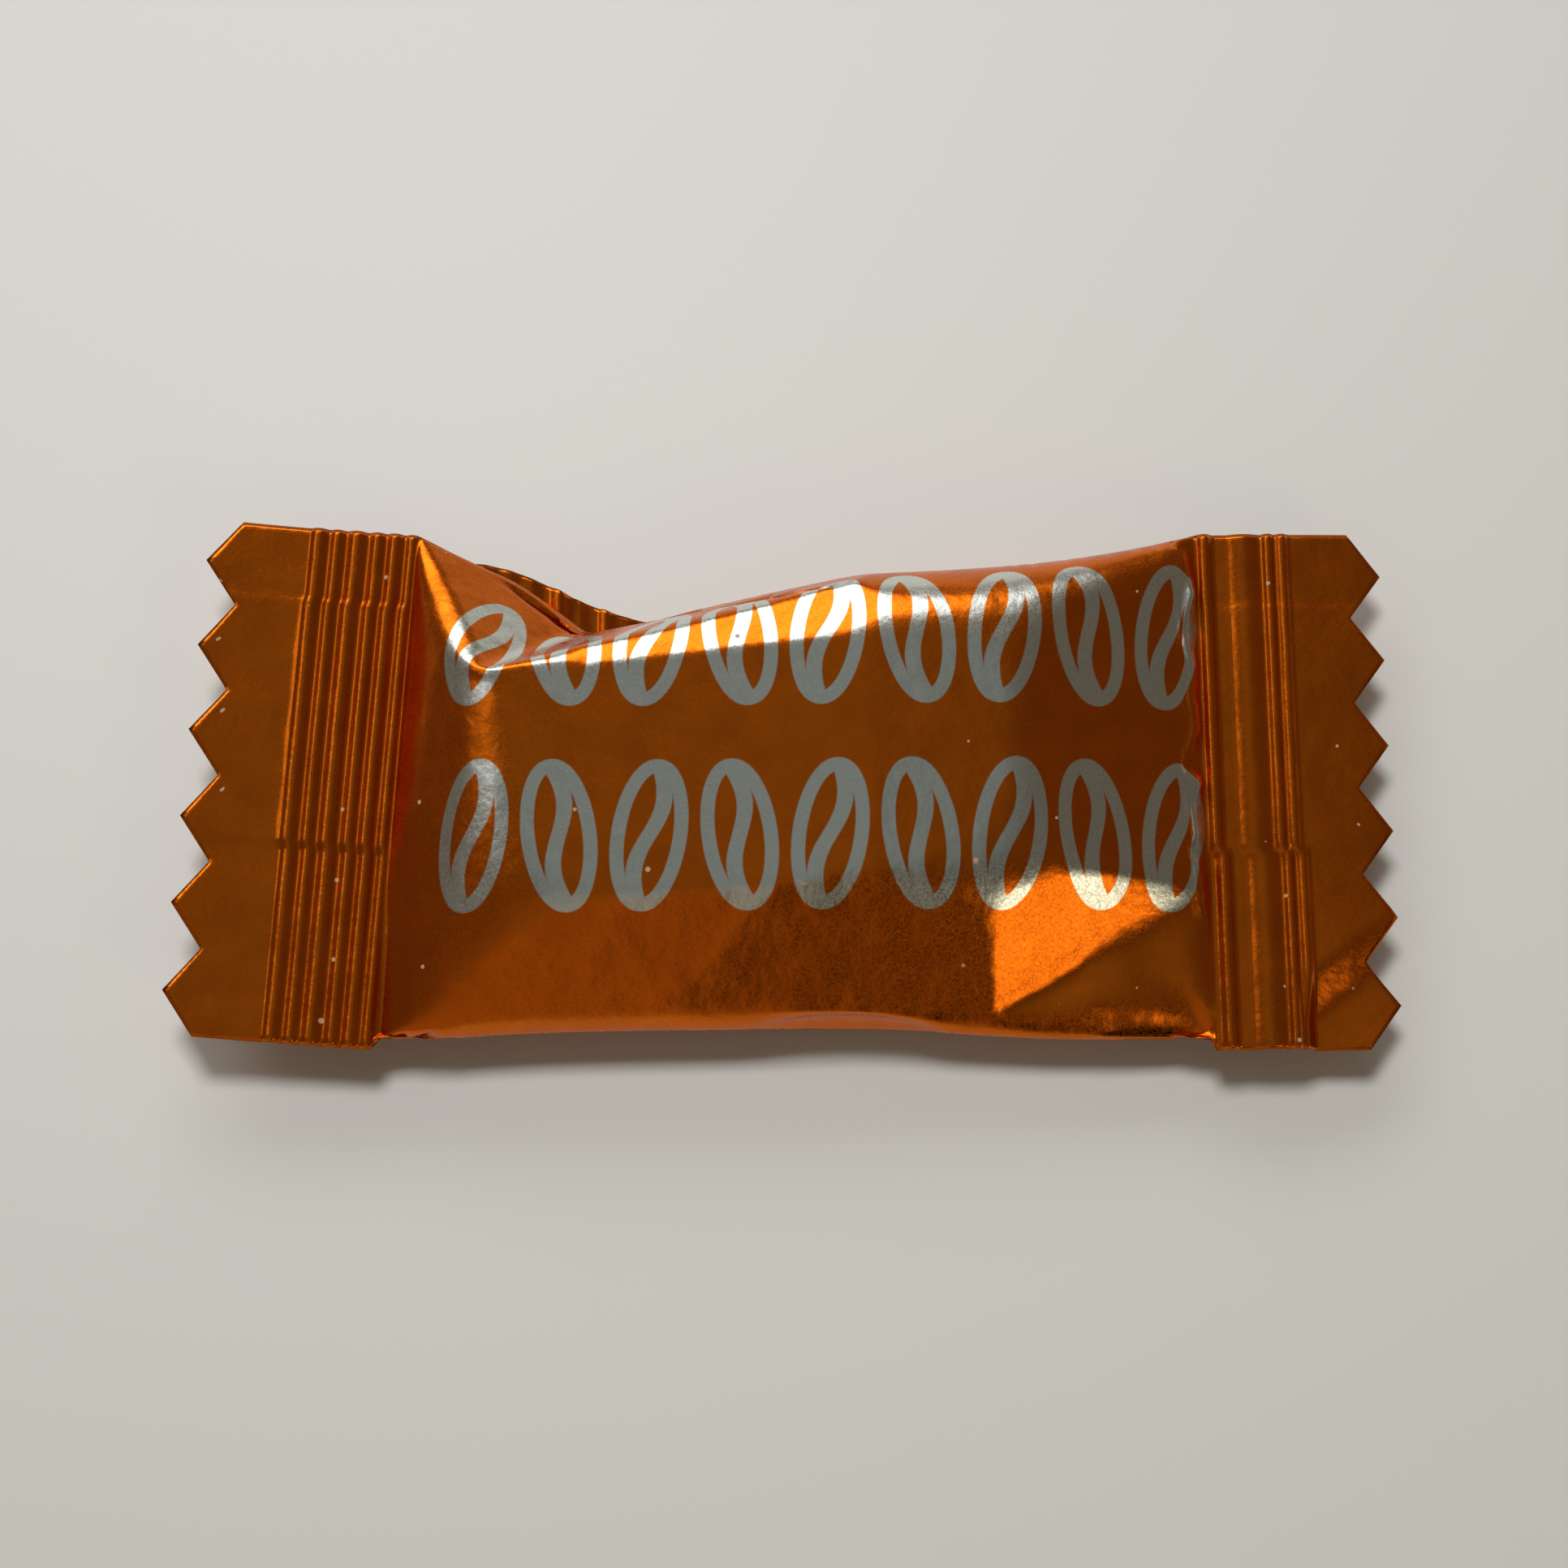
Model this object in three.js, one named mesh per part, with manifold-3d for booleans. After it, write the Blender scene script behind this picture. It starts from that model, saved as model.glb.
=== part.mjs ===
// A wrapped coffee candy: one hard sweet sealed in a tube of metallised foil, lying on its back.
// The tube is pressed flat and crimped at both ends, and domed over the sweet between them.
// Its long seam is a flat fin, folded over against the back of the pack.
// The pack is shut, so the foil and the sweet inside it are one solid.
import * as THREE from "three";
import Module from "manifold-3d";
import { mergeVertices } from "three/addons/utils/BufferGeometryUtils.js";

// Driving dimensions, in millimetres. X runs along the pack, Y across it and Z up from the table.
const PACK_LENGTH = 55; // from tooth tip to tooth tip, along the middle of the pack
const FLAT_WIDTH = 24; // the tube pressed flat
const CROWN = 7.5; // the top of the pack
const SEAL_HEIGHT = 3.5; // how high the crimps stand over the table
const FILM = 0.4; // the two films of a crimp, with the seal between them
const TOOTH_COUNT = 6; // teeth across each cut end
const TOOTH_DEPTH = 1.5;
// Each crimp: the line where it begins, by how many degrees it is turned from square to the pack, how far its cut
// end curls up, and how much higher its corner towards -Y lifts. Its ribs are those that the sealing jaws press:
// how far each one's middle lies out from the line, and its width.
const LEFT_CRIMP = {
  line: -18,
  turn: -3.9,
  curl: 0.7,
  cornerLift: 0,
  ribs: [
    [0.3, 0.5],
    [1.1, 0.6],
    [1.9, 0.55],
    [2.85, 0.7],
    [3.75, 0.5],
    [4.6, 0.65],
  ],
};
const RIGHT_CRIMP = {
  line: 19,
  turn: 1,
  curl: -0.5,
  cornerLift: 0.9,
  ribs: [
    [0.35, 0.6],
    [2.15, 1.25],
    [3.3, 0.45],
    [3.95, 0.45],
  ],
};
const RIB_HEIGHT = 0.24;
const RIB_SIDE = 0.14; // the width of the slope at either side of a rib
const FIN_THICKNESS = 0.35;
const FIN_ROOT = -2.9; // where the seam leaves the back of the pack
const FIN_EDGE = 8.6; // its free edge
const FIN_BULGE = { x: -13.2, width: 3.6, height: 1.3 }; // where the free edge swings out, past the long edge
const FIN_PLAIN_MARGIN = 2.9; // smooth foil between the pressed lines and the free edge
const FIN_LINE_PITCH = 1.1;
const FIN_LINE_DEPTH = 0.12;
const FIN_PROUD = 0.25; // how far the fin stands out from the film under it
const FIN_LEVEL_FROM = 5; // how far in from the long edge it stops following that film

// Worked out from them.
const HALF_LENGTH = PACK_LENGTH / 2;
const HALF_WIDTH = FLAT_WIDTH / 2;
const TOOTH_PITCH = FLAT_WIDTH / TOOTH_COUNT;
const BACK = FIN_PROUD; // the back film, which the fin holds off the table

// The flats that the film was pressed to, each as three points [x, y, z] that it goes through. The printed
// film lies under all of the first, and the back film lies over all of the second.
const OVER = [
  [[-14, 0, CROWN - 0.45], [4, 0, CROWN], [0, 6, CROWN]], // the crown
  [[4.5, 6, CROWN], [2.2, -6, CROWN], [10.7, 0, CROWN - 0.45]], // past the sweet
  [[10.4, 6, CROWN - 0.4], [10.4, -3.7, CROWN - 0.45], [19, 3, SEAL_HEIGHT + 0.6]], // down to the +X crimp
  [[-13.4, -6, CROWN - 0.35], [-14.2, 5, CROWN - 0.45], [-18, 0, SEAL_HEIGHT + 0.5]], // down to the -X crimp
  [[-13, -4.6, CROWN], [4, -4.6, CROWN], [-6, -11.3, SEAL_HEIGHT + 0.9]], // the shoulder towards -Y
  [[4, -4.6, CROWN - 0.15], [10.6, -3.7, CROWN - 0.5], [8.7, -11.1, SEAL_HEIGHT + 0.4]],
  [[-8, 5, CROWN], [12, 8.8, CROWN], [3.5, 10.1, CROWN - 1.1]], // the shoulder towards +Y
];
const UNDER = [
  [[9, 0, BACK], [9, 5, BACK], [19, 0, SEAL_HEIGHT - 0.6]],
  [[-14, 0, BACK], [-14, 5, BACK], [-18, 0, SEAL_HEIGHT - 0.6]],
  [[-10, -7, BACK], [10, -7, BACK], [0, -11.8, SEAL_HEIGHT - 1]],
  [[-8, 4.6, BACK], [12, 7.6, BACK], [3.5, 10.1, SEAL_HEIGHT + 0.2]],
];
// The dent beside the -X crimp and the flat ear beside the +X crimp are each a valley between two flats.
const DENT_CORNER = [-13.8, 4.8, CROWN - 0.55];
const DENT_FLOOR = [-10.4, 7.4, 3.4];
const DENT = [
  [DENT_CORNER, DENT_FLOOR, [-18, 12.3, 3.8]],
  [DENT_CORNER, DENT_FLOOR, [-2, 8.2, 5.6]],
];
const DENT_REACH = 2; // the dent lies beyond this y
const EAR_CORNER = [18.9, -5.2, SEAL_HEIGHT + 0.4];
const EAR_TIP = [8.7, -11, SEAL_HEIGHT + 0.4];
const EAR = [
  [EAR_TIP, [10.7, -3.6, CROWN - 0.5], EAR_CORNER],
  [EAR_TIP, EAR_CORNER, [19.2, -11.9, SEAL_HEIGHT + 0.1]],
];
const EAR_REACH = 2; // the ear lies beyond this x
const END_SLOPE = 1.6; // how steeply the film leaves a crimp at its line
const SHOULDER = 2.6; // how far in from a long edge the film is round
const ARRIVAL = 4; // how far from a crimp the film takes its rounded form
const CROWDING = 1.5; // how closely the mesh's columns crowd towards the long edges
const FOLD_SOFTNESS = 0.4;

// The two long edges between the crimps, as [x, y] kinks. The film pulls in as it domes, and the edge towards
// +Y is pushed in by the dent.
const NEAR_EDGE = [
  [-18.8, -12],
  [-17.6, -11.4],
  [-6, -11.2],
  [2.2, -10.8],
  [8.6, -11.3],
  [18, -11.4],
  [19.2, -12],
];
const FAR_EDGE = [
  [-17.2, 12],
  [-14.3, 9.8],
  [-11.2, 7.6],
  [-9.2, 7],
  [-4, 8],
  [4, 9.7],
  [11.8, 10.9],
  [18.8, 12],
];

// How finely the surfaces are divided.
const COLUMNS = 8 * TOOTH_COUNT;
const BODY_ROWS = 2 * Math.round((RIGHT_CRIMP.line - LEFT_CRIMP.line) / FIN_LINE_PITCH); // two to a line
const FIN_SPREAD = [0, 0.06, 0.22, 0.4, 0.56, 0.7, 0.75, 0.88, 1]; // from the fin's root to its free edge

const clamp = THREE.MathUtils.clamp;
const lerp = THREE.MathUtils.lerp;

// The height of a flat at x and y.
function heightOf([a, b, c], x, y) {
  const [p, q, r] = [a, b, c].map((point) => new THREE.Vector3(...point));
  const normal = q.sub(p).cross(r.sub(p));
  return p.z - (normal.x * (x - p.x) + normal.y * (y - p.y)) / normal.z;
}

// The smaller of two heights, with the corner between them rounded.
function softMin(a, b, softness = FOLD_SOFTNESS) {
  const overlap = Math.max(softness - Math.abs(a - b), 0) / softness;
  return Math.min(a, b) - (overlap * overlap * softness) / 4;
}

// The y at x on a line of kinks, which runs on level past its ends.
function alongKinks(kinks, x) {
  const last = kinks[kinks.length - 1];
  if (x <= kinks[0][0]) return kinks[0][1];
  if (x >= last[0]) return last[1];
  const next = kinks.findIndex(([kinkX]) => kinkX > x);
  const [x0, y0] = kinks[next - 1];
  const [x1, y1] = kinks[next];
  return y0 + ((y1 - y0) * (x - x0)) / (x1 - x0);
}

// A quarter of an ellipse: 0 at a long edge, 1 from the shoulder inwards.
function roundedSide(distance) {
  const left = 1 - clamp(distance / SHOULDER, 0, 1);
  return Math.sqrt(1 - left * left);
}

function fromLongEdge(x, y) {
  return Math.min(y - alongKinks(NEAR_EDGE, x), alongKinks(FAR_EDGE, x) - y);
}

// The printed film between the crimps, at a station that lies so far in from the nearer crimp.
function printedDome(x, y, fromCrimp) {
  let height = SEAL_HEIGHT + (CROWN - SEAL_HEIGHT + FOLD_SOFTNESS) * roundedSide(fromLongEdge(x, y));
  height = softMin(height, SEAL_HEIGHT + FILM / 2 + fromCrimp * END_SLOPE);
  for (const flat of OVER) height = softMin(height, heightOf(flat, x, y));
  if (y > DENT_REACH) height = softMin(height, Math.max(...DENT.map((flat) => heightOf(flat, x, y))));
  if (x > EAR_REACH) height = softMin(height, Math.max(...EAR.map((flat) => heightOf(flat, x, y))));
  return Math.max(height, SEAL_HEIGHT + FILM / 2);
}

// The back film under it, down to the flat that it rests on.
function backDome(x, y, fromCrimp) {
  let depth = (SEAL_HEIGHT - BACK + FOLD_SOFTNESS) * roundedSide(fromLongEdge(x, y));
  depth = softMin(depth, FILM / 2 + fromCrimp * END_SLOPE);
  for (const flat of UNDER) depth = softMin(depth, SEAL_HEIGHT - heightOf(flat, x, y));
  return SEAL_HEIGHT - clamp(depth, FILM / 2, SEAL_HEIGHT - BACK);
}

// The pressed ribs of a crimp, so far out from its line.
function ribHeight(out, ribs) {
  let height = 0;
  for (const [middle, width] of ribs) {
    const inside = width / 2 - Math.abs(out - middle);
    height = Math.max(height, RIB_HEIGHT * clamp(inside / RIB_SIDE + 0.5, 0, 1));
  }
  return height;
}

// The middle of the crimped film. Both crimps curl a little, and one corner of the +X crimp lifts.
function crimpHeight(out, y, { line, curl, cornerLift, ribs }) {
  const share = out / (HALF_LENGTH - Math.abs(line));
  const towardsCorner = Math.max(-y / HALF_WIDTH, 0);
  return SEAL_HEIGHT + share ** 2 * (curl + cornerLift * towardsCorner ** 2) + ribHeight(out, ribs);
}

// Where the cut end lies at y: at the tip of a tooth, at its root, or between them.
function cutEnd(y) {
  const phase = (((y + HALF_WIDTH) / TOOTH_PITCH) % 1 + 1) % 1;
  return HALF_LENGTH - TOOTH_DEPTH * Math.abs(2 * phase - 1);
}

// The stations along one crimp, out from its line to the last one before the teeth.
function crimpStations({ line, ribs }) {
  const corners = ribs.flatMap(([middle, width]) =>
    [-1, 1].flatMap((side) => [
      middle + side * (width / 2) - RIB_SIDE / 2,
      middle + side * (width / 2) + RIB_SIDE / 2,
    ]),
  );
  const toothRoots = HALF_LENGTH - Math.abs(line) - TOOTH_DEPTH;
  return [0, ...corners.filter((out) => out > 0), toothRoots - TOOTH_DEPTH / 2];
}

const LEFT_STATIONS = crimpStations(LEFT_CRIMP).map((out) => LEFT_CRIMP.line - out);
const RIGHT_STATIONS = crimpStations(RIGHT_CRIMP).map((out) => RIGHT_CRIMP.line + out);
const BODY_STATIONS = Array.from({ length: BODY_ROWS - 1 }, (_, i) =>
  lerp(LEFT_CRIMP.line, RIGHT_CRIMP.line, (i + 1) / BODY_ROWS),
);
const STATIONS = [...LEFT_STATIONS.reverse(), ...BODY_STATIONS, ...RIGHT_STATIONS];

// Where a point of the straight pack comes to lie, once its crimps are turned. Between the crimps the turn
// fades from either end to none in the middle.
function turned(station, y) {
  const crimp = station < 0 ? LEFT_CRIMP : RIGHT_CRIMP;
  const turn = THREE.MathUtils.degToRad(crimp.turn) * Math.min(station / crimp.line, 1);
  const out = Math.abs(station) > Math.abs(crimp.line) ? station - crimp.line : 0;
  const x = station - out + out * Math.cos(turn) - y * Math.sin(turn);
  return [x, y * Math.cos(turn) + out * Math.sin(turn)];
}

// The point of either film at a station and a straight y.
function filmPoint(station, y, printed) {
  const [x, acrossY] = turned(station, y);
  const crimp = station < 0 ? LEFT_CRIMP : RIGHT_CRIMP;
  const out = Math.abs(station) - Math.abs(crimp.line);
  if (out >= 0) return [x, acrossY, crimpHeight(out, y, crimp) + (printed ? FILM / 2 : -FILM / 2)];
  return [x, acrossY, (printed ? printedDome : backDome)(x, acrossY, -out)];
}

// A closed slab between two surfaces over a grid: point(row, column, upper) gives its vertices.
function slab(rows, columns, point) {
  const positions = [];
  const index = [];
  const vertex = (row, column, upper) => (row * columns + column) * 2 + (upper ? 1 : 0);
  for (let row = 0; row < rows; row += 1) {
    for (let column = 0; column < columns; column += 1) {
      positions.push(...point(row, column, false), ...point(row, column, true));
    }
  }
  const quad = (a, b, c, d) => index.push(a, b, c, a, c, d);
  for (let row = 0; row < rows - 1; row += 1) {
    for (let column = 0; column < columns - 1; column += 1) {
      const corners = [
        [row, column],
        [row + 1, column],
        [row + 1, column + 1],
        [row, column + 1],
      ];
      // Each quad is split towards its own corner of the pack, along the folds that end there.
      if (row < (rows - 1) / 2 !== column < (columns - 1) / 2) corners.push(corners.shift());
      const [a, b, c, d] = corners;
      quad(...[a, b, c, d].map(([r, l]) => vertex(r, l, true)));
      quad(...[a, d, c, b].map(([r, l]) => vertex(r, l, false)));
    }
  }
  const wall = ([r0, c0], [r1, c1]) =>
    quad(vertex(r0, c0, false), vertex(r1, c1, false), vertex(r1, c1, true), vertex(r0, c0, true));
  for (let row = 0; row < rows - 1; row += 1) {
    wall([row, 0], [row + 1, 0]);
    wall([row + 1, columns - 1], [row, columns - 1]);
  }
  for (let column = 0; column < columns - 1; column += 1) {
    wall([rows - 1, column], [rows - 1, column + 1]);
    wall([0, column + 1], [0, column]);
  }
  const geometry = new THREE.BufferGeometry();
  geometry.setAttribute("position", new THREE.Float32BufferAttribute(positions, 3));
  geometry.setIndex(index);
  return geometry;
}

// The body of the pack, from one row of teeth to the other.
function packBody() {
  const rows = STATIONS.length + 2;
  const point = (row, column, upper) => {
    const across = (2 * column) / COLUMNS - 1;
    const flatY = across * HALF_WIDTH;
    if (row === 0) return filmPoint(-cutEnd(flatY), flatY, upper);
    if (row === rows - 1) return filmPoint(cutEnd(flatY), flatY, upper);
    const station = STATIONS[row - 1];
    const line = station < 0 ? LEFT_CRIMP.line : RIGHT_CRIMP.line;
    if (Math.abs(station) >= Math.abs(line)) return filmPoint(station, flatY, upper);
    // The columns draw together at the long edges of the dome, where the film turns most.
    const domed = clamp((Math.abs(line) - Math.abs(station)) / ARRIVAL, 0, 1);
    const tight = Math.sign(across) * (1 - (1 - Math.abs(across)) ** CROWDING);
    const share = (1 + lerp(across, tight, domed)) / 2;
    const [nearX] = turned(station, -HALF_WIDTH);
    const [farX] = turned(station, HALF_WIDTH);
    return filmPoint(station, lerp(alongKinks(NEAR_EDGE, nearX), alongKinks(FAR_EDGE, farX), share), upper);
  };
  return slab(rows, COLUMNS + 1, point);
}

// The long seam, a flat fin that lies against the back and runs through both crimps. The lines pressed across
// it are cut into its outer face, so that their crests rest level.
function seamFin() {
  const rows = STATIONS.length + 2;
  const setBack = 0.05; // keeps the fin's cut ends just inside the teeth of the body
  const plainFrom = 1 - FIN_PLAIN_MARGIN / (FIN_EDGE - FIN_ROOT);
  const point = (row, column, upper) => {
    const atEnd = row === 0 || row === rows - 1;
    const middle = atEnd ? 0 : STATIONS[row - 1];
    const swing = Math.exp(-(((middle - FIN_BULGE.x) / FIN_BULGE.width) ** 2));
    const edge = FIN_EDGE + (atEnd ? 0 : FIN_BULGE.height * swing);
    const y = lerp(FIN_ROOT, edge, FIN_SPREAD[column]);
    const cut = cutEnd(y) - setBack;
    const station = atEnd ? (row === 0 ? -cut : cut) : middle;
    const line = station < 0 ? LEFT_CRIMP.line : RIGHT_CRIMP.line;
    const fromCrimp = Math.abs(line) - Math.abs(station);
    const [x, acrossY, crimpZ] = filmPoint(station, y, false);
    // Past the shoulder of the back the fin runs on level, clear of the film that turns up to the edge.
    const levelY = Math.min(acrossY, alongKinks(FAR_EDGE, x) - FIN_LEVEL_FROM);
    const outer = (fromCrimp > 0 ? backDome(x, levelY, fromCrimp) : crimpZ) - FIN_PROUD;
    const pressed = fromCrimp > FIN_LINE_PITCH && FIN_SPREAD[column] < plainFrom;
    const groove = pressed && column > 0 && row % 2 === 1 ? FIN_LINE_DEPTH : 0;
    return [x, acrossY, upper ? outer + FIN_THICKNESS : outer + groove];
  };
  return slab(rows, FIN_SPREAD.length, point);
}

const wasm = await Module();
wasm.setup();

function toSolid(geometry) {
  const merged = mergeVertices(geometry, 1e-4);
  return new wasm.Manifold(
    new wasm.Mesh({
      numProp: 3,
      vertProperties: merged.attributes.position.array,
      triVerts: new Uint32Array(merged.index.array),
    }),
  );
}

function toGeometry(solid) {
  const mesh = solid.getMesh();
  const geometry = new THREE.BufferGeometry();
  geometry.setAttribute("position", new THREE.BufferAttribute(mesh.vertProperties, mesh.numProp));
  geometry.setIndex(new THREE.BufferAttribute(mesh.triVerts, 1));
  geometry.computeVertexNormals();
  return geometry;
}

const foil = new THREE.MeshStandardMaterial({ color: 0xc4611a, roughness: 0.35, metalness: 1 });

const FUSE_TOLERANCE = 0.004; // edges shorter than this, left where the fin meets the body, are merged away
const fused = toSolid(packBody()).add(toSolid(seamFin())).simplify(FUSE_TOLERANCE);
// The turned crimps reach further one way than the other, so the pack is set down with its middle at the origin.
const { min, max } = fused.boundingBox();
const placed = fused.translate([-(min[0] + max[0]) / 2, -(min[1] + max[1]) / 2, -min[2]]);

const wrappedCandy = new THREE.Mesh(toGeometry(placed), foil);
wrappedCandy.name = "wrapped_candy";

const coffeeCandy = new THREE.Group();
coffeeCandy.add(wrappedCandy);

export default coffeeCandy;
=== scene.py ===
# %% [markdown]
# # A coffee candy in its foil pack
#
# The pack is one tube of metallised film around a hard sweet. A machine forms the tube, seals its long seam
# into a flat fin on the back, and crimps and cuts both ends. The solid model already has its size and its
# main forms. This script makes the film itself: thin, slack, pushed in at one corner and creased by handling.
#
# The film could be modelled by hand, or the solid's surface could be roughened. But film hardly stretches,
# and that is what makes its creases look right. So its shape isn't drawn here. It is found, by letting a grid
# that keeps its lengths settle around the sweet while flat things press on it.

# %% Load the frame
import math
import bpy
import numpy as np
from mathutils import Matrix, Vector


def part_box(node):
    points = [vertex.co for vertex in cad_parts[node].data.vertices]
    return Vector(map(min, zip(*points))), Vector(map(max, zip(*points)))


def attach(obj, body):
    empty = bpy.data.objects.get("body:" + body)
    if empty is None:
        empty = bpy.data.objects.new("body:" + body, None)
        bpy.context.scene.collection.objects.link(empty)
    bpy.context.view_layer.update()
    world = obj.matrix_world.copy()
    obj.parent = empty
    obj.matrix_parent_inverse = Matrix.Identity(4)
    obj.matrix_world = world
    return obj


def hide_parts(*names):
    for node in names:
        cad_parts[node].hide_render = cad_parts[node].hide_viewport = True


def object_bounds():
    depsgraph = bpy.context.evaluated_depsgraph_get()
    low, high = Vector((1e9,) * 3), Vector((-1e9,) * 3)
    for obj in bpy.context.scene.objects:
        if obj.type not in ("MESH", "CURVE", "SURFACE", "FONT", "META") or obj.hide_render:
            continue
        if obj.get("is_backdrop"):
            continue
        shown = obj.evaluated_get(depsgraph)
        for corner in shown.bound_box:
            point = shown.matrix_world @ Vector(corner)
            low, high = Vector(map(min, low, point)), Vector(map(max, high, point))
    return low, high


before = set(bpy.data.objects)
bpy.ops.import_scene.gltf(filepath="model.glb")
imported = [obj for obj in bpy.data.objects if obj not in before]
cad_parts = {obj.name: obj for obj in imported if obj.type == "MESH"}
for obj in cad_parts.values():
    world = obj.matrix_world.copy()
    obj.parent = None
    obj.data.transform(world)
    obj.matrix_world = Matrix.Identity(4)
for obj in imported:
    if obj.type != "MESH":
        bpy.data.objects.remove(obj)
solid_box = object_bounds()

# %% [markdown]
# ## Sizes
#
# The solid stands where the film will, so its box gives the height of the pack. The other sizes are the ones
# that the solid was made from. They are all in millimetres, which are handier than metres for a thing this
# small. A mesh is turned to metres when it is made.

# %% What the solid gives
MM = 0.001
low, high = (np.array(corner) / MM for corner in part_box("wrapped_candy"))
CROWN = high[2]  # the top of the pack
print("the solid measures", np.round(high - low, 2), "mm")

# %% The tube, and where its crimps begin
HALF_WIDTH = 12  # of the tube pressed flat
LEFT_LINE, RIGHT_LINE = -18.0, 19.0
LEFT_TURN, RIGHT_TURN = math.radians(-3.9), math.radians(1.0)  # neither crimp is quite square to the pack
SEAL = 3.5  # the height of the crimps over the table
FILM = 0.12  # the two films of a crimp together
print("the crimps begin", RIGHT_LINE - LEFT_LINE, "mm apart")

# %% [markdown]
# ## The film as a grid
#
# The tube between the crimps is a grid of points in rows along the pack, each row a closed ring. Going around
# a ring, the first half is the printed front and the second half is the back. At both crimps the ring is
# pressed flat, front on back. There is more film between the crimps than the distance between them, because
# the film has to climb over the sweet. At the long edges the surplus is what buckles.

# %% How much film there is
SLACK = 1.35
FILM_LENGTH = RIGHT_LINE - LEFT_LINE + SLACK  # from crimp to crimp
GIRTH = 4 * HALF_WIDTH
print(f"the film between the crimps is {FILM_LENGTH:.2f} mm long and {GIRTH} mm around")


# %% The points of a ring
def around_the_ring(points):
    """Where each point lies across the flat tube, and 1 on the front or -1 on the back."""
    place = np.arange(points) / points * GIRTH
    front = place <= GIRTH / 2
    return np.where(front, place - HALF_WIDTH, 3 * HALF_WIDTH - place), np.where(front, 1.0, -1.0)


# %% A slack tube to start from
SWELL = 2.5  # how far front and back stand from the crimps' height, in the middle of the pack
PULLED_IN = 0.1  # the share of its width that the tube loses by swelling


def slack_tube(rows, points):
    flat_y, side = around_the_ring(points)
    along = np.linspace(-1, 1, rows + 1)[:, None]
    swell = np.sqrt(np.clip(1 - along**2, 0, 1))
    round_side = np.sqrt(np.clip(1 - (flat_y / HALF_WIDTH) ** 2, 0, 1))
    y = flat_y * (1 - PULLED_IN * swell)
    turn = np.where(along < 0, -LEFT_TURN, RIGHT_TURN) * along
    x = LEFT_LINE + (RIGHT_LINE - LEFT_LINE) * (along + 1) / 2 - np.sin(turn) * y
    y = np.cos(turn) * y
    z = SEAL + side * (FILM / 2 + SWELL * swell * round_side)
    return np.stack([x, y, z], axis=-1)


# %% [markdown]
# ## Keeping the lengths
#
# Blender's own cloth could do this, but on a stiff film with so many links it either stretches or takes very
# long. So each link between neighbouring points is put back to its length in turn, half the error at either
# end. This is the method of position-based dynamics. Links that share no point can be done together, so each
# direction takes two passes, first the even links and then the odd ones. The diagonals keep the squares
# square.

# %% Putting links back to their length
TINY = 1e-12  # makes it harmless to divide by a length of nothing


def keep_length(a, b, length, share=0.5):
    """Moves both ends of every link by a share of the link's error."""
    gap = b - a
    size = np.sqrt(np.einsum("...i,...i->...", gap, gap)) + TINY
    gap *= ((size - length) / size * share)[..., None]
    a += gap
    b -= gap


# %% Links around the pack
def keep_rings(film, length):
    keep_length(film[:, 0::2], film[:, 1::2], length)
    turned = np.roll(film, -1, axis=1)
    keep_length(turned[:, 0::2], turned[:, 1::2], length)
    film[:] = np.roll(turned, 1, axis=1)


# %% Links along the pack, and the diagonals
DIAGONAL_SHARE = 0.25  # of the error, at either end


def keep_rows(film, length, diagonal):
    for first in (0, 1):
        pairs = (len(film) - first) // 2
        near = film[first : first + 2 * pairs : 2]
        far = film[first + 1 : first + 2 * pairs : 2]
        keep_length(near, far, length)
        for turn in (-1, 1):
            turned = np.roll(far, turn, axis=1)
            keep_length(near, turned, diagonal, share=DIAGONAL_SHARE)
            far[:] = np.roll(turned, -turn, axis=1)


# %% [markdown]
# ## Air and stiffness
#
# A little air is sealed in and pushes the film outwards, and the film's stiffness evens out sharp bends. Both
# could be worked out as true forces. As small moves of the points, made once in each step, they can't make
# the film swing, and it settles sooner.


# %% Which way the film faces
def outward(film):
    along = np.gradient(film, axis=0)
    around = np.roll(film, -1, 1) - np.roll(film, 1, 1)
    normal = np.cross(along, around)
    return normal / (np.linalg.norm(normal, axis=-1, keepdims=True) + TINY)


# %% How it resists bending
def resist_bending(film, amount):
    bend = np.roll(film, -1, 1) + np.roll(film, 1, 1) - 2 * film
    bend[1:-1] += film[2:] + film[:-2] - 2 * film[1:-1]
    pull = np.roll(bend, -1, 1) + np.roll(bend, 1, 1) - 4 * bend
    pull[1:-1] += bend[2:] + bend[:-2]
    film[1:-1] -= amount * pull[1:-1]


# %% [markdown]
# ## The sweet
#
# Inside is the sweet, a rounded block. It can't be seen, but the film is full over it and falls away past it.
# It could be a mesh that the film collides with. But for a rounded block a few sums tell how deep inside a
# point is, and they move it straight out to the surface. The sweet grows to its size while the film settles,
# so that the film slides off it instead of catching.

# %% The sweet inside
SWEET_MIDDLE = np.array([-3.8, -1.0, 3.6])
SWEET_HALF = np.array([9.6, 6.0, 3.2])
SWEET_ROUND = 3.2  # the radius of its edges
print("the sweet measures", 2 * SWEET_HALF, "mm")


def slide_off_sweet(film, size):
    """A rounded block is every place within a radius of a smaller block. Size goes from 0 to 1."""
    offset = film - SWEET_MIDDLE
    depth = np.abs(offset) - (SWEET_HALF - SWEET_ROUND) * size
    beyond = np.maximum(depth, 0)
    length = np.linalg.norm(beyond, axis=-1)
    inside = (length < SWEET_ROUND * size) & (length > 0)
    push = SWEET_ROUND * size / length[inside] - 1
    film[inside] += (np.sign(offset) * beyond)[inside] * push[:, None]


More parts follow.
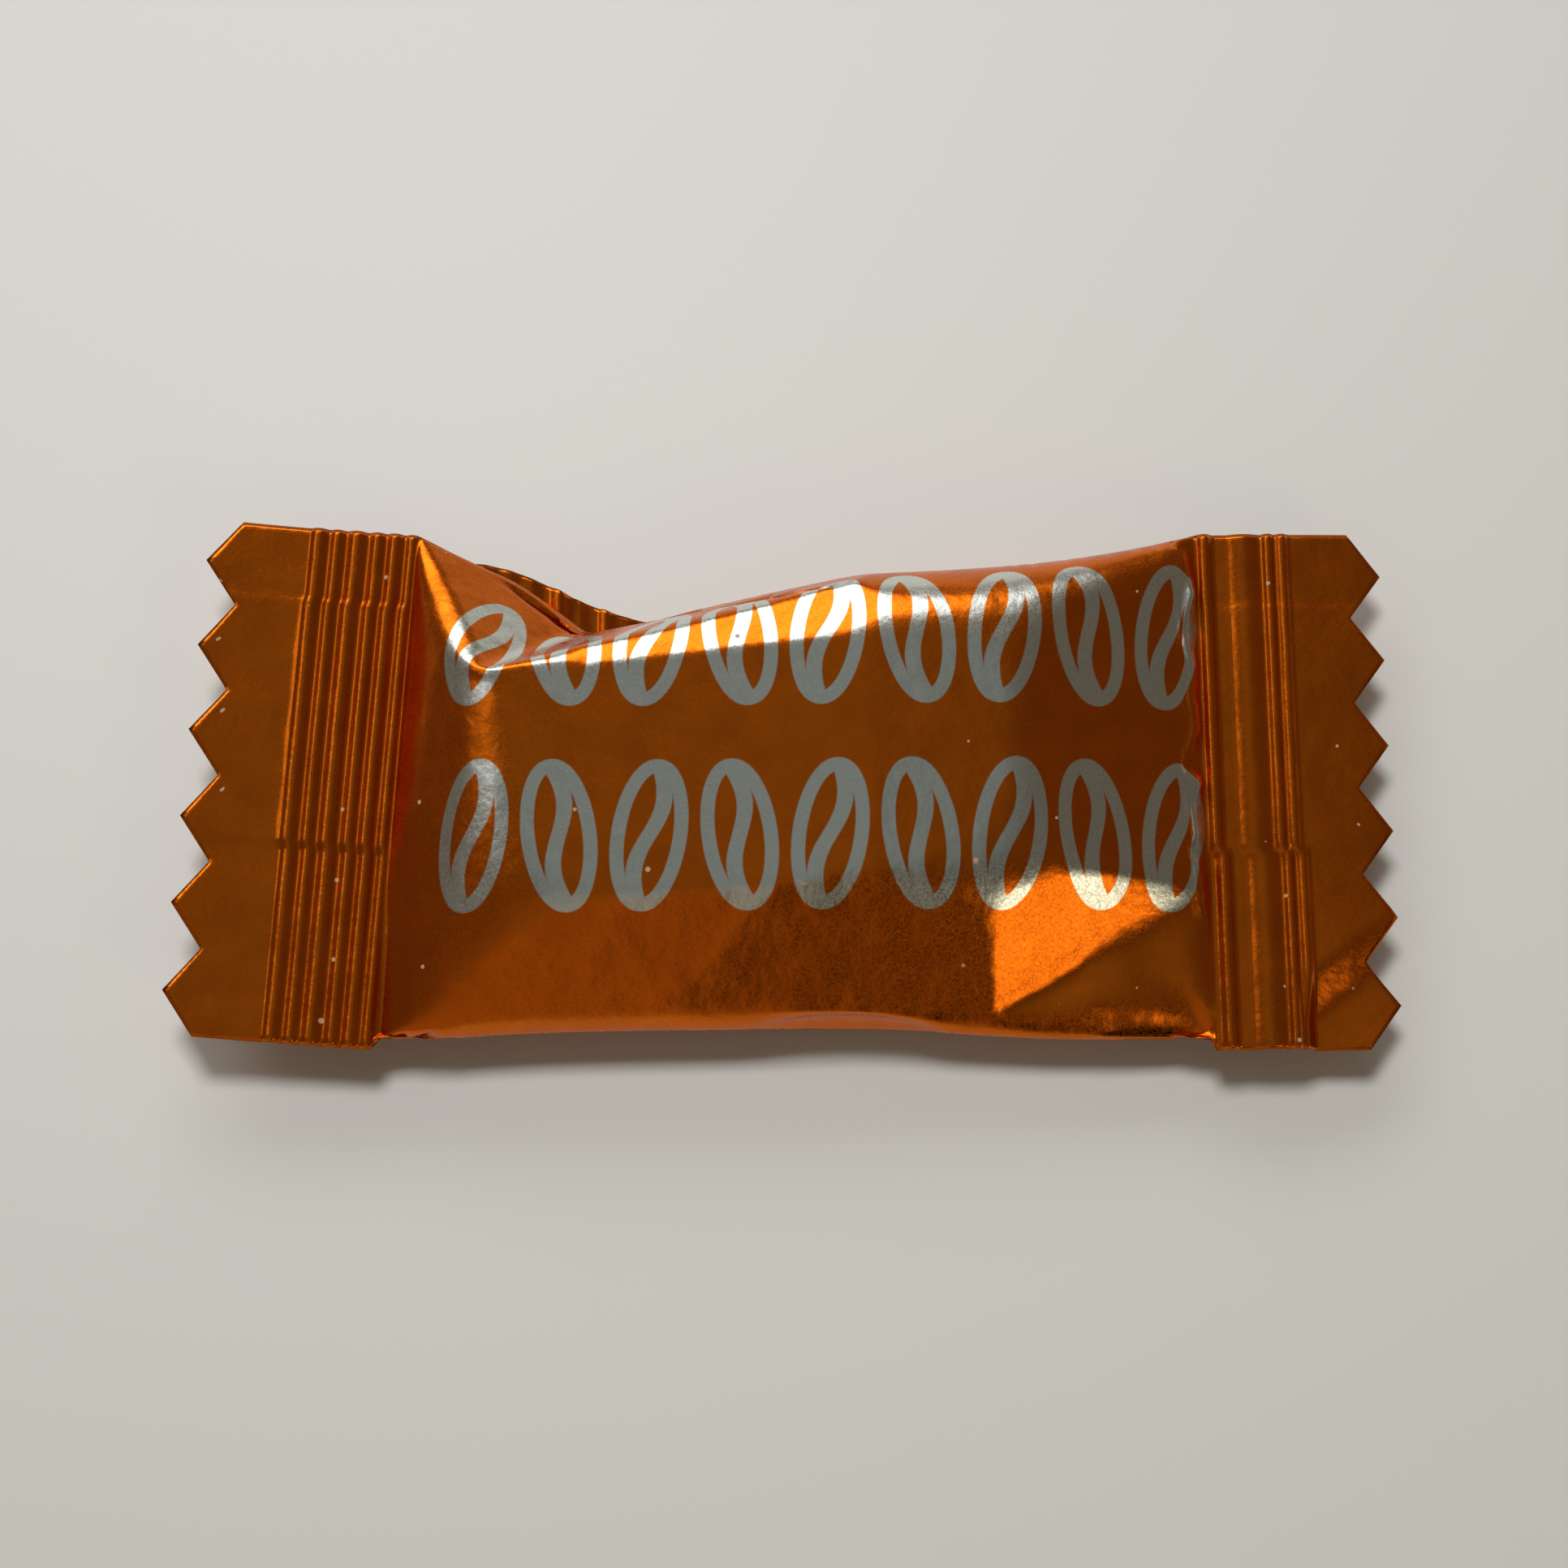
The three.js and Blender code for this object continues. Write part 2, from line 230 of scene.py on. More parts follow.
# %% [markdown]
# ## What presses on the film
#
# Outside, hands and a table pressed the pack, and each left a flat. They could be plates that the film
# collides with, but a plane takes one sum and lets no point slip through. So each is a plane that the film
# can't pass, given by three points that it goes through. The facets then come out in their places, while the
# creases between them form by themselves.


# %% A plane through three points
def plane(a, b, c, faces=(0, 0, 1)):
    """Its direction, on the side that it faces, and its distance from the origin."""
    a, b, c = np.array(a), np.array(b), np.array(c)
    normal = np.cross(b - a, c - a)
    normal /= np.linalg.norm(normal)
    if normal @ np.array(faces) < 0:
        normal = -normal
    return normal, normal @ a


# %% The flats over the film
OVER_THE_FILM = {
    "table it was pressed on": plane((-14, 0, CROWN - 0.45), (4, 0, CROWN), (0, 6, CROWN)),
    "past the sweet": plane((4.5, 6, CROWN), (2.2, -6, CROWN), (10.7, 0, CROWN - 0.45)),
    "slope to the right crimp": plane(
        (10.4, 6, CROWN - 0.4), (10.4, -3.7, CROWN - 0.45), (19, 3, SEAL + 0.6)),
    "slope to the left crimp": plane(
        (-13.4, -6, CROWN - 0.35), (-14.2, 5, CROWN - 0.45), (-18, 0, SEAL + 0.5)),
    "near shoulder": plane((-13, -4.6, CROWN), (4, -4.6, CROWN), (-6, -11.3, SEAL + 0.9)),
    "near shoulder past the sweet": plane(
        (1, -4.5, CROWN), (-4.5, -9.5, CROWN - 2.27), (8.7, -11.1, SEAL + 0.2)),
}
print("over the film:", ", ".join(OVER_THE_FILM))

# %% The flats under it
BACK_HEIGHT = 0.2  # how high the back film lies over the table, on the seam's fin
UNDER_THE_FILM = {
    "right end": plane((9, 0, BACK_HEIGHT), (9, 5, BACK_HEIGHT), (19, 0, SEAL - 0.6)),
    "left end": plane((-14, 0, BACK_HEIGHT), (-14, 5, BACK_HEIGHT), (-18, 0, SEAL - 0.6)),
    "near side": plane((-10, -7, BACK_HEIGHT), (10, -7, BACK_HEIGHT), (0, -11.8, SEAL - 1)),
}
print("under the film:", ", ".join(UNDER_THE_FILM))

# %% The long edges
FAR_SHOULDER = plane((-10, 4, CROWN), (12, 8.3, CROWN), (3.5, 10.1, CROWN - 1.15))
FAR_UNDERSIDE = plane((-8, 4.6, BACK_HEIGHT), (12, 7.6, BACK_HEIGHT), (3.5, 10.1, SEAL + 0.2))
PAST_DENT = -9  # the far edge is pressed from this x on, past the pushed-in corner
NEAR_WALL = -11.4  # the near edge stays within this y
print("the near edge is held to y =", NEAR_WALL)

# %% [markdown]
# ### The two dents
#
# The pushed-in corner beside the left crimp is where the corner of something pressed. Beside the right crimp
# the near corner of the pillow, its ear, is flattened. A mesh shaped as a wedge could press each in. Two
# planes that meet in a valley do the same with less work. A point of the film that lies over both is pushed
# out by the nearer one, and close to the valley by a mix of both, which rounds it.

# %% The planes of the dent and of the ear
DENT_CORNER = np.array([-13.8, 4.8, CROWN - 0.55])
DENT_FLOOR = (-10.5, 7.0, 3.3)
DENT = (
    plane(DENT_CORNER, DENT_FLOOR, (-18.0, 12.3, 3.8), faces=(0, 1, 1)),
    plane(DENT_CORNER, DENT_FLOOR, (-2.0, 8.2, 5.6), faces=(0, 1, 1)),
)
EAR_CORNER = np.array([18.9, -5.2, SEAL + 0.4])
EAR_TIP = (8.7, -11.0, SEAL + 0.4)
EAR = (
    plane(EAR_TIP, (10.7, -3.6, CROWN - 0.5), EAR_CORNER),
    plane(EAR_TIP, EAR_CORNER, (19.2, -11.9, SEAL + 1.1)),
)
print("the dent goes", round(DENT_CORNER[2] - DENT_FLOOR[2], 2), "mm down")


# %% Pushing the film out of a dent
def dent(film, corner, flats, within, rounding):
    """Pushes out what lies over both flats and within the mask. The rounding softens their valley."""
    (first, _), (second, _) = flats
    offset = film - corner
    over_first, over_second = offset @ first, offset @ second
    caught = (over_first > 0) & (over_second > 0) & within
    a, b = over_first[caught], over_second[caught]
    share = np.clip(0.5 + 0.5 * (b - a) / rounding, 0, 1)
    depth = np.maximum(b * (1 - share) + a * share - rounding * share * (1 - share) / 2, 0)
    push = second * (1 - share)[:, None] + first * share[:, None]
    push /= np.linalg.norm(push, axis=1, keepdims=True)
    film[caught] -= push * depth[:, None]


# %% [markdown]
# ### A push at the near edge
#
# In its middle the near edge is arched inwards, and a short crease runs up from it. Both could be sculpted in
# at the end, but that would stretch the film. So a blunt egg, long in the direction of the edge, presses
# there from outside, and the film finds the crease by itself.

# %% Pushing the edge in
NUDGE_MIDDLE = (2.4, -13.4, 4.0)
NUDGE_RADIUS = 3.0
NUDGE_SQUASH = 0.4  # its length is its width over this
NUDGE_TRAVEL = 0.7  # of the travel that the flats have


def nudge_near_edge(film, lift):
    offset = film - (np.array(NUDGE_MIDDLE) - (0, NUDGE_TRAVEL * lift, 0))
    offset[..., 0] *= NUDGE_SQUASH
    size = np.linalg.norm(offset, axis=-1)
    caught = size < NUDGE_RADIUS
    film[caught, 1] += (offset[..., 1] / size * (NUDGE_RADIUS - size))[caught]


# %% [markdown]
# ### All of it at once
#
# The presses start clear of the film and close in over the first half of the time. The folded edges are
# pulled outwards a little all the while, because real film remembers where it was folded, and that keeps them
# out and sharp.


# %% Pressing the film to a flat
def press_down(film, flat, lift):
    normal, distance = flat
    film -= np.maximum(film @ normal - distance - lift, 0)[..., None] * normal


def press_up(film, flat, lift):
    normal, distance = flat
    film -= np.minimum(film @ normal - distance + lift, 0)[..., None] * normal


# %% Holding the folded edges out
EDGE_PULL = 3.0
MIDDLE_PULL = 0.4  # the share of it in the middle of the pack


def pull_edges(film):
    points = film.shape[1]
    along = np.linspace(-1, 1, len(film))
    pull = EDGE_PULL / points * (MIDDLE_PULL + (1 - MIDDLE_PULL) * along**2)
    film[:, 0, 1] -= pull
    film[:, points // 2, 1] += pull


# %% Pressing everything
PRESS_TRAVEL = 3.0  # how far off the presses start
DENT_REACH = 2  # the dent lies beyond this y
DENT_ROUNDING = 0.8
EAR_REACH = 2  # the ear lies beyond this x
EAR_ROUNDING = 0.5


def press(film, done):
    """Done goes from 0 to 1, and the presses are closed from a half on."""
    lift = max(0.0, 1 - 2 * done) * PRESS_TRAVEL
    pull_edges(film)
    half = film.shape[1] // 2
    front, back = film[:, : half + 1], film[:, half + 1 :]
    for flat in OVER_THE_FILM.values():
        press_down(front, flat, lift)
    for flat in UNDER_THE_FILM.values():
        press_up(back, flat, lift)
    past_dent = film[:, half, 0] > PAST_DENT
    shoulder, underside = front[past_dent], back[past_dent]
    press_down(shoulder, FAR_SHOULDER, lift)
    press_up(underside, FAR_UNDERSIDE, lift)
    front[past_dent], back[past_dent] = shoulder, underside
    dent(film, DENT_CORNER + (0, lift, lift), DENT, film[..., 1] > DENT_REACH, DENT_ROUNDING)
    dent(front, EAR_CORNER + (0, 0, lift), EAR, front[..., 0] > EAR_REACH, EAR_ROUNDING)
    nudge_near_edge(film, lift)
    np.maximum(film[..., 1], NEAR_WALL - lift, out=film[..., 1])
    np.maximum(film[..., 2], BACK_HEIGHT, out=film[..., 2])


# %% [markdown]
# ## Letting it settle
#
# In each step the film goes on moving as it did, air puffs it out, the lengths are put right a dozen times,
# and then everything presses. It runs on a coarse grid first, where the big folds form fast, and then twice
# more with every square split in four, where the creases sharpen. Starting with the finest grid would take
# far longer, because a fold then has to travel over many more points.

# %% One settling
MOMENTUM = 0.9  # the share of its last move that the film makes again
STIFFNESS = 0.01
SWEET_START = 0.2  # the share of its size at which the sweet starts
SWEET_GROWTH = 1.3  # how much it would grow in the whole time


def settle(film, steps, puff, rounds=14, closing=False):
    """The air moves the film by puff in each step, and the lengths are put right in so many rounds."""
    row_gap = FILM_LENGTH / (len(film) - 1)
    ring_gap = GIRTH / film.shape[1]
    diagonal = math.hypot(row_gap, ring_gap)
    crimped = film[[0, -1]].copy()
    before = film.copy()
    for step in range(steps):
        done = (step + 1) / steps
        moved = (film - before) * MOMENTUM
        before = film.copy()
        film += moved + outward(film) * puff
        for _ in range(rounds):
            keep_rows(film, row_gap, diagonal)
            keep_rings(film, ring_gap)
            film[[0, -1]] = crimped
        resist_bending(film, STIFFNESS)
        slide_off_sweet(film, min(SWEET_START + SWEET_GROWTH * done, 1.0) if closing else 1.0)
        press(film, done if closing else 1.0)
        film[[0, -1]] = crimped


# %% Splitting every square in four
def split_squares(film):
    longer = np.empty((2 * len(film) - 1, film.shape[1], 3))
    longer[0::2] = film
    longer[1::2] = (film[1:] + film[:-1]) / 2
    finer = np.empty((len(longer), 2 * film.shape[1], 3))
    finer[:, 0::2] = longer
    finer[:, 1::2] = (longer + np.roll(longer, -1, 1)) / 2
    return finer


# %% [markdown]
# A small random push starts the buckles. The draws have a fixed seed, so every run gives the same pack.

# %% From coarse to fine
START_ROWS, START_POINTS = 48, 60
FIRST_JOLT, SECOND_JOLT = 0.05, 0.01
chance = np.random.default_rng(7)
film = slack_tube(START_ROWS, START_POINTS)
film[1:-1] += chance.normal(0, FIRST_JOLT, film[1:-1].shape)
settle(film, steps=260, puff=0.008, rounds=12, closing=True)
film = split_squares(film)
film[1:-1] += chance.normal(0, SECOND_JOLT, film[1:-1].shape)
settle(film, steps=200, puff=0.003)
film = split_squares(film)
settle(film, steps=110, puff=0.0015)
print("film grid", film.shape[:2])

# %% How well it kept its lengths
stretch = np.linalg.norm(film[1:] - film[:-1], axis=-1) / FILM_LENGTH * (len(film) - 1) - 1
print(f"half of the links along the pack are within {np.median(abs(stretch)):.1%} of their length")

# %% [markdown]
# ## A smoothed place
#
# Beside the right crimp the surplus film crumples more than the real one does, as its ear was pressed smooth.
# Settling for longer wouldn't help, because the surplus has nowhere to go. So that spot is ironed: each point
# moves towards the mean of its four neighbours, fully in the middle of the spot and less towards its rim.

# %% Ironing
IRON_MIDDLE = (16.5, -8)
IRON_RADII = (2.2, 3)
IRON_RIM = 1.5  # the spot ends at this many radii
IRON_STRENGTH = 0.5


def iron(film, passes):
    front = film[:, : film.shape[1] // 2 + 1]
    away = np.linalg.norm((front[..., :2] - IRON_MIDDLE) / IRON_RADII, axis=-1)
    share = IRON_STRENGTH * np.clip(IRON_RIM - away, 0, 1)[1:-1, 1:-1, None]
    for _ in range(passes):
        mean = (front[2:, 1:-1] + front[:-2, 1:-1] + front[1:-1, 2:] + front[1:-1, :-2]) / 4
        front[1:-1, 1:-1] += (mean - front[1:-1, 1:-1]) * share


rough_spot = film.copy()
iron(film, passes=60)
print(f"ironing moved the film by up to {np.abs(film - rough_spot).max():.2f} mm")

# %% [markdown]
# ## A jagged fold
#
# Where the printed film runs into the right crimp, it was pushed up into a tiny fold just before the jaws
# closed, with an edge that wanders. The grid is too coarse to buckle that finely, so the fold is laid on: a
# narrow ridge along the crimp, whose height and whose place are drawn at random every 0.8 mm.

# %% Laying it on
PUCKER_HEIGHT = 0.42
PUCKER_WIDTH = 0.26
PUCKER_PLACE = 0.6  # its distance from the crimp
PUCKER_FROM, PUCKER_TO = -6, 11.4  # its ends across the pack
PUCKER_JAG = 0.8  # from one draw to the next
LEAN = 0.5  # how far the film leans over with it
LEAN_WIDTH = 0.5
RIDGE_FOOT, LEAN_FOOT = 0.2, 0.4  # within these distances both die out towards the crimp


def pucker(film, chance):
    row_gap = FILM_LENGTH / (len(film) - 1)
    front = film[:, 1 : film.shape[1] // 2]
    y = front[-1, :, 1]
    knots = np.arange(PUCKER_FROM - 1, HALF_WIDTH + 1, PUCKER_JAG)
    folded = (knots > PUCKER_FROM) & (knots < PUCKER_TO)
    height = np.interp(y, knots, chance.uniform(0.2, 1, len(knots)) * folded)
    lean = np.interp(y, knots, chance.uniform(-0.2, 1, len(knots)) * folded)
    out = row_gap * np.arange(len(film) - 1, -1, -1)[:, None]
    ridge = np.exp(-(((out - PUCKER_PLACE) / PUCKER_WIDTH) ** 2))
    wider = np.exp(-(((out - PUCKER_PLACE) / LEAN_WIDTH) ** 2))
    front[..., 2] += PUCKER_HEIGHT * height * ridge * np.minimum(out / RIDGE_FOOT, 1)
    front[..., 0] -= LEAN * lean * wider * np.minimum(out / LEAN_FOOT, 1)
    print(f"the fold is up to {PUCKER_HEIGHT * height.max():.2f} mm high")


pucker(film, chance)

# %% [markdown]
# ## The crimps
#
# The jaws press front and back film together into lands and grooves that run across the pack, leave a plain
# strip, and the knife cuts the end into teeth. A crimp could be a plate of its own, but then its join to the
# pillow would show. So the two crimps are more rows of the same grid, with front and back a film's thickness
# apart. In section a rib is an arc, because film doesn't follow the jaws' sharp corners.


# %% An even step from 0 to 1
def ease(t):
    t = np.clip(t, 0, 1)
    return t * t * (3 - 2 * t)


# %% The profile that the jaws press
# Each rib is (middle, width, share of the full height), in mm out from where the crimp begins.
LEFT_RIBS = (
    (0.3, 0.45, 0.7), (1.1, 0.6, 1.0), (1.9, 0.55, 0.9),
    (2.85, 0.7, 1.0), (3.75, 0.5, 0.8), (4.6, 0.65, 0.9),
)
RIGHT_RIBS = ((0.35, 0.6, 1.2), (2.15, 1.3, 0.75), (3.3, 0.45, 1.0), (3.95, 0.45, 0.9))
RIB_HEIGHT = 0.24
RIB_SIDE = 0.08  # how far a rib's foot reaches past its width at either side
print(len(LEFT_RIBS), "ribs on the left and", len(RIGHT_RIBS), "on the right")


def rib_height(out, ribs):
    height = np.zeros_like(out)
    for middle, width, share in ribs:
        from_middle = np.clip(abs(out - middle) / (width / 2 + RIB_SIDE), 0, 1)
        height = np.maximum(height, RIB_HEIGHT * share * (1 - from_middle**2))
    return height


# %% The cut
HALF_LENGTH = 27.5  # of the pack, to the tips of its teeth
TEETH = 6
TOOTH_DEPTH = 1.5
print("the teeth are", 2 * HALF_WIDTH / TEETH, "mm apart")


def tooth_line(y, length):
    """How far out the cut lies at y."""
    phase = (y + HALF_WIDTH) / (2 * HALF_WIDTH) * TEETH % 1
    return length - TOOTH_DEPTH * abs(2 * phase - 1)


# %% [markdown]
# ### The crimps' height
#
# The seam's fin runs on through both crimps, so there they are one step thicker, and the jaws' ribs jog
# sideways where the step is. Past the ribs the plain strip curls a little, the left one up and the right one
# down. The near corner of the right one is lifted, and its very tip is bent down again along a slanting line.

# %% The step at the fin
FIN_ROOT, FIN_EDGE = -2.9, 8.6  # the fin lies between these, on the back
STEP_HEIGHT = 0.05
STEP_WIDTH = 0.3
LEFT_JOG, RIGHT_JOG = 0.1, 0.3


def on_fin(y):
    """1 on the fin and 0 beside it."""
    return ease((y - FIN_ROOT) / STEP_WIDTH + 0.5) - ease((y - FIN_EDGE) / STEP_WIDTH + 0.5)


# %% The bent tip
BEND_AT = (4.2, -8.4)  # a point on the line that it is bent along, as distance out and y
BEND_WAY = (0.6, -0.8)  # square to that line, towards the tip
BEND_DEPTH = 0.8
BEND_WIDTH = 2.3
BEND_FROM = 3.8  # the ribs are too stiff to bend, so it starts this far out
BEND_ROOT = 0.8


def bent_tip(out, y):
    past = BEND_WAY[0] * (out - BEND_AT[0]) + BEND_WAY[1] * (y - BEND_AT[1])
    return BEND_DEPTH * ease(past / BEND_WIDTH) * ease((out - BEND_FROM) / BEND_ROOT)


# %% All of a crimp's height
LEFT_CURL, RIGHT_CURL = 0.7, -0.5  # at the teeth
CORNER_LIFT = 0.9
WAVE_HEIGHT = 0.05
WAVE_PACE = 0.9  # radians to the mm


def crimp_height(out, y, right):
    over_fin = on_fin(y)
    length = HALF_LENGTH - (RIGHT_LINE if right else -LEFT_LINE)
    if right:
        ribs = rib_height(out - RIGHT_JOG * (1 - over_fin) * (y < 0), RIGHT_RIBS) - bent_tip(out, y)
        curl = RIGHT_CURL + CORNER_LIFT * np.clip(-y / HALF_WIDTH, 0, 1) ** 2
    else:
        ribs = rib_height(out + LEFT_JOG * (1 - over_fin), LEFT_RIBS)
        curl = LEFT_CURL
    phase = 2 if right else 0  # the two crimps don't wave alike
    wave = WAVE_HEIGHT * np.sin(y * WAVE_PACE + phase) * out / length
    step = STEP_HEIGHT * over_fin * ease(out / STEP_WIDTH)
    return SEAL + ribs + curl * (out / length) ** 2 + step + wave


# %% [markdown]
# ### The crimps' rows
#
# Over the ribs the rows lie straight across the pack, close together. From there on each row is more like the
# cut than the one before, until the last one follows the teeth. That way no square is cut in two.

# %% Rows from the pillow outwards
PLAIN_START = 5.0  # where the ribs end
RIB_ROWS = 50
TOOTH_ROWS = 12


def crimp_rows(points, right):
    y, side = around_the_ring(points)
    side[[0, points // 2]] = 0  # the folded edges lie between front and back
    line, way, turn = (RIGHT_LINE, 1, RIGHT_TURN) if right else (LEFT_LINE, -1, LEFT_TURN)
    length = HALF_LENGTH - way * line
    ribbed = np.linspace(0, PLAIN_START, RIB_ROWS + 1)[1:]
    rows = [np.full(points, out) for out in ribbed]
    for share in np.linspace(0, 1, TOOTH_ROWS + 1)[1:]:
        rows.append(PLAIN_START + (tooth_line(y, length) - PLAIN_START) * share)
    out = np.stack(rows)
    y = np.broadcast_to(y, out.shape)
    z = crimp_height(out, y, right) + side * FILM / 2
    x = line + way * out * math.cos(turn) - y * math.sin(turn)
    y = y * math.cos(turn) + way * out * math.sin(turn)
    along = np.concatenate([ribbed, np.linspace(PLAIN_START, length, TOOTH_ROWS + 1)[1:]])
    return np.stack([x, y, z], axis=-1), along


# %% Joining them to the tube
left, left_at = crimp_rows(film.shape[1], right=False)
right, right_at = crimp_rows(film.shape[1], right=True)
wrapper = np.concatenate([left[::-1], film, right])
film_at = np.concatenate([
    -FILM_LENGTH / 2 - left_at[::-1],
    np.linspace(-FILM_LENGTH / 2, FILM_LENGTH / 2, len(film)),
    FILM_LENGTH / 2 + right_at,
])
print("wrapper grid", wrapper.shape[:2], "and", round(film_at[-1] - film_at[0], 2), "mm of film")

# %% [markdown]
# ## From grid to mesh
#
# The rings join into a tube, and each cut end is closed between front and back. Every corner also gets its
# place on the unrolled film, as a map from 0 to 1 along and around it. The print is made from that map, so it
# bends with the creases as ink on film does.


# %% The squares of a tube, and their places on the film
def tube_squares(rows, points, along):
    row, ring = np.meshgrid(np.arange(rows - 1), np.arange(points), indexing="ij")
    after = (ring + 1) % points
    corners = np.stack([row * points + ring, (row + 1) * points + ring,
                        (row + 1) * points + after, row * points + after], axis=-1)
    u = np.stack([along[row], along[row + 1], along[row + 1], along[row]], axis=-1)
    v = np.stack([ring, ring, ring + 1, ring + 1], axis=-1) / points
    return corners.reshape(-1, 4).tolist(), np.stack([u, v], axis=-1).reshape(-1, 2).tolist()


# %% The strip that closes an end
def end_strip(row, points, along):
    faces, places = [], []
    for k in range(points // 2):
        ring = [k, k + 1, points - k - 1, (points - k) % points]
        ring = list(dict.fromkeys(ring if row == 0 else ring[::-1]))  # at its own ends it has triangles
        faces.append([row * points + place for place in ring])
        places += [[along[row], place / points] for place in ring]
    return faces, places


# %% [markdown]
# The turned crimps reach further one way than the other. The pack is set down with its middle at the origin,
# as the solid is. A piece's object stays at the origin, and its place is in its mesh.

# %% Build a tube
MIDDLE = (wrapper.min(axis=(0, 1)) + wrapper.max(axis=(0, 1))) / 2 * (1, 1, 0)
print("set down by", np.round(-MIDDLE, 3), "mm")


def tube_mesh(name, grid, at):
    rows, points, _ = grid.shape
    along = (at - at[0]) / (at[-1] - at[0])
    faces, places = tube_squares(rows, points, along)
    for row in (0, rows - 1):
        more_faces, more_places = end_strip(row, points, along)
        faces += more_faces
        places += more_places
    mesh = bpy.data.meshes.new(name)
    mesh.from_pydata(((grid - MIDDLE).reshape(-1, 3) * MM).tolist(), [], faces)
    mesh.uv_layers.new(name="film").data.foreach_set("uv", np.array(places).ravel())
    mesh.polygons.foreach_set("use_smooth", np.ones(len(mesh.polygons), dtype=bool))
    mesh.validate()
    piece = bpy.data.objects.new(name, mesh)
    bpy.context.scene.collection.objects.link(piece)
    print(name, "has", len(mesh.vertices), "points and", len(mesh.polygons), "faces")
    return piece


foil = tube_mesh("foil_wrapper", wrapper, film_at)

# %% [markdown]
# ## The seam on the back
#
# The two long edges of the film are sealed face to face into a fin, pressed with fine lines across it, and
# folded over against the back. It could be part of the tube's grid, but its fold would be sharper than the
# grid is fine. So it is a strip of its own, a thin slab that follows the back film. Beside the pushed-in
# corner it swings out past the long edge, like a flap, and so its lines show from the front.


# %% The back film's height
SHOULDER = 3.4  # the fin doesn't follow the film's turn up to the long edge, but stays level from here


def back_height(ring, y):
    half = len(ring) // 2
    back = ring[half:][::-1]
    order = np.argsort(back[:, 1])
    level = np.minimum(y, ring[half, 1] - SHOULDER)
    return np.interp(level, back[order, 1], back[order, 2])


# %% The flap
FLAP_PEAK = -14.5  # the x where the free edge is furthest out
FLAP_RISE, FLAP_FALL = 3, 5.2  # over how long it swings out and back
FLAP_REACH = 2.7
FLAP_LIFT = 1.3
FLAP_HINGE = 2.1  # from its free edge to where it bends up
HINGE_WIDTH = 0.8


def flap_swing(x):
    """How far the flap is out at x, from 0 to 1."""
    return ease((x - LEFT_LINE) / FLAP_RISE) * math.exp(-((max(x - FLAP_PEAK, 0) / FLAP_FALL) ** 2))


# %% The lines pressed across it
LINE_PITCH = 1.1
LINE_DEPTH = 0.16
HALF_LINE = 0.25  # of the pitch
LINE_FLANK = 0.12  # of the pitch
LINES_END = 1.5  # over this length the lines die out towards a crimp
MARGIN = 2.9  # beside the free edge the film is nearly smooth
MARGIN_SHARE = 0.6  # of the lines' depth that is gone there
ROOT_FADE, MARGIN_FADE = 0.4, 0.5  # how fast the lines begin at the root, and fade at the margin


def pressed_lines(at, y, edge):
    strength = ease((FILM_LENGTH / 2 - abs(at)) / LINES_END)
    line = ease((HALF_LINE - abs(at / LINE_PITCH % 1 - 0.5)) / LINE_FLANK + 0.5)
    band = ease((y - FIN_ROOT) / ROOT_FADE) * (1 - MARGIN_SHARE * ease((y - (edge - MARGIN)) / MARGIN_FADE))
    return LINE_DEPTH * strength * (line - 1) * band


# %% The strip's place under each row
FIN_COLUMNS = 60
FIN_INSET = 0.2  # its free edge stays this far within the solid's
FIN_GAP = 0.03  # from the film that it follows


def fin_row(ring, at):
    back = ring[len(ring) // 2 :][::-1]
    middle = back[len(back) // 2, 0]
    swing = flap_swing(middle)
    edge = FIN_EDGE - FIN_INSET + FLAP_REACH * swing
    y = FIN_ROOT + (edge - FIN_ROOT) * np.linspace(0, 1, FIN_COLUMNS + 1)
    if abs(at) > FILM_LENGTH / 2:  # in a crimp it lies against the back all over
        x = np.interp(y, back[:, 1], back[:, 0])
        x = x - np.sign(x) * FIN_GAP
        z = np.interp(y, back[:, 1], back[:, 2])
    else:
        x = middle + 0 * y
        z = back_height(ring, y)
    z = z - FIN_GAP + FLAP_LIFT * swing * ease((y - edge + FLAP_HINGE) / HINGE_WIDTH)
    return np.stack([x, y, z - pressed_lines(at, y, edge)], axis=-1)


# %% Build the fin
FIN_THICKNESS = 0.1
LOWEST = 0.01  # over the table
upper = np.stack([fin_row(ring, at) for ring, at in zip(wrapper, film_at)])
lower = upper - (0, 0, FIN_THICKNESS)
lower[..., 2] = np.maximum(lower[..., 2], LOWEST)
rings = np.concatenate([upper, lower[:, ::-1]], axis=1)  # out on the upper side, and back on the lower
fin = tube_mesh("seam_fin", rings, film_at)
print("its lowest point is", round(lower[..., 2].min(), 3), "mm over the table")

# %% [markdown]
# ## The foil's finish
#
# Metallised film is a mirror of aluminium under tinted lacquer. So it is all metal, coloured by the lacquer,
# and satin from the film's own grain. Where the print leaves the lacquer out, the bare aluminium shows
# silver. The finish is made from sums in the material and not from a picture, so it is sharp at any distance.
# These helpers make nodes and do sums with them.


# %% Node helpers
def add(tree, kind, inputs=None, **settings):
    """Makes a node. An input that is a socket is linked, and any other value is set."""
    made = tree.nodes.new(kind)
    for key, value in settings.items():
        setattr(made, key, value)
    for key, value in (inputs or {}).items():
        socket = made.inputs[key]
        if isinstance(value, bpy.types.NodeSocket):
            tree.links.new(value, socket)
        else:
            socket.default_value = value
    return made


def ramp(tree, value, start, end, first, last):
    """Goes from first to last as the value goes from start to end, and stays level on either side."""
    limits = {"From Min": start, "From Max": end, "To Min": first, "To Max": last}
    return add(tree, "ShaderNodeMapRange", {"Value": value, **limits}).outputs[0]


